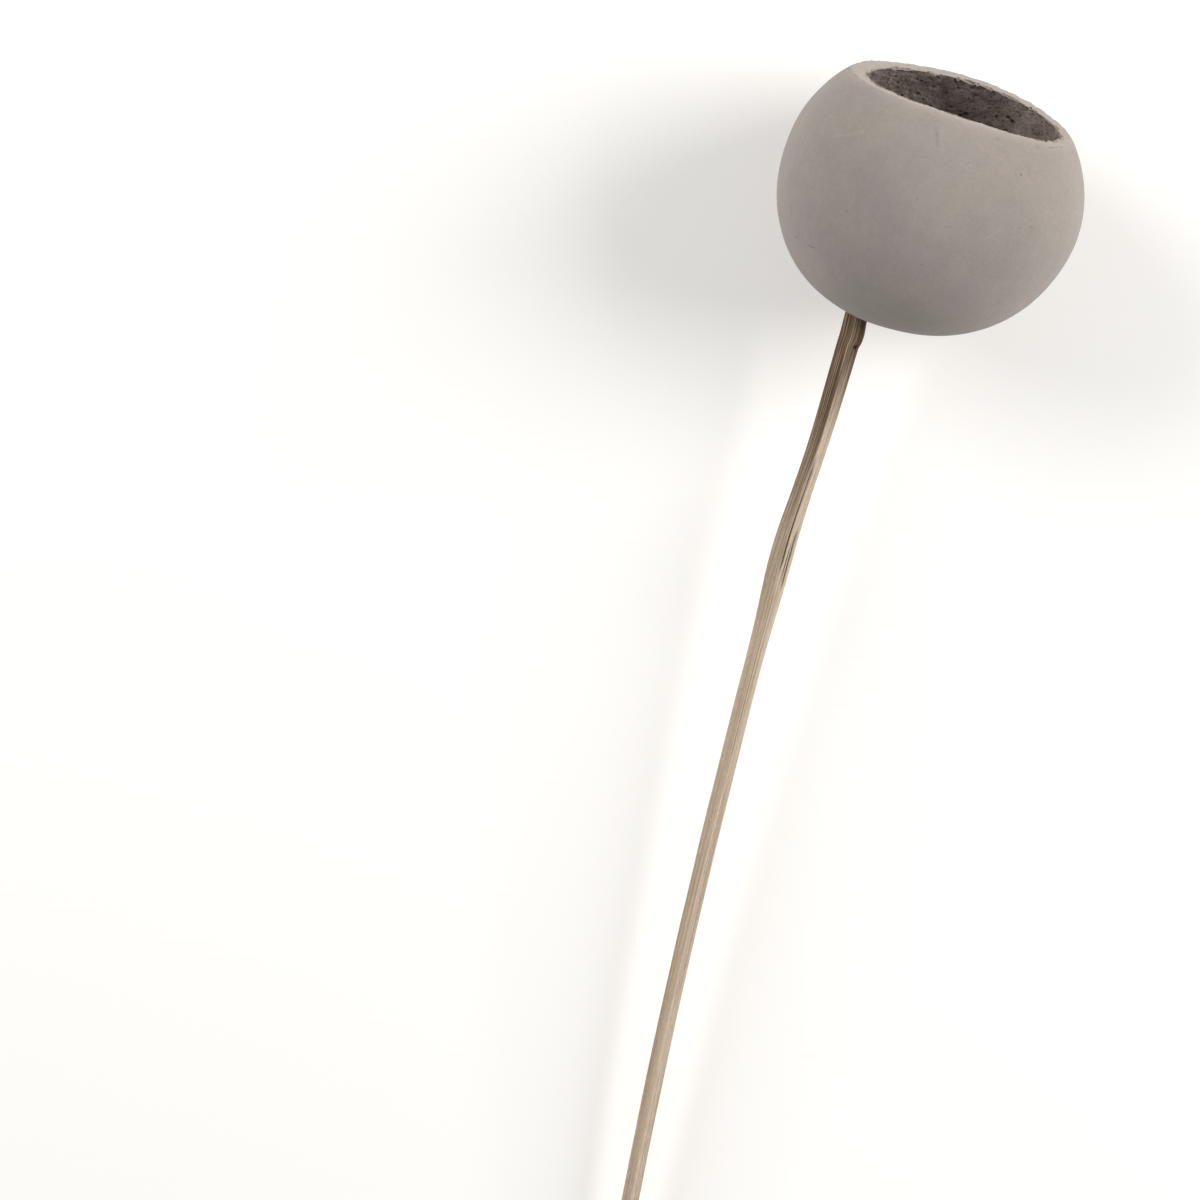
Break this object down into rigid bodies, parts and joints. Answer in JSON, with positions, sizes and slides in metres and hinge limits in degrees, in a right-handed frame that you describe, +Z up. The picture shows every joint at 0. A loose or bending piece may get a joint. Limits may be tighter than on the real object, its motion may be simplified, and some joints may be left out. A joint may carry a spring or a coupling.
{
  "type": "dried bell cup pod on a stem",
  "caption": "Dried round fruit shell cut open into a painted cup, with a rough inside and a sawn mouth, glued on a thin split wooden stem; it lies on its side.",
  "frame": {"origin": "the middle of the object's plan, on the surface that it lies on", "axes": "+Z up; +Y along the pod from the stem's cut end to the cup's mouth; X across"},
  "size_m": [0.0658, 0.4014, 0.065],
  "materials": {
    "painted_shell": "matt warm grey paint over a hard dry rind, chalky, with a rough pitted inside",
    "split_wood": "dry split wood, pale beige with brown grain, no varnish",
    "dried_glue": "hardened hot glue, cloudy amber, smooth"
  },
  "bodies": {
    "root": {"shell": "painted_shell", "stem": "split_wood", "glue_bead": "dried_glue"}
  },
  "joints": []
}
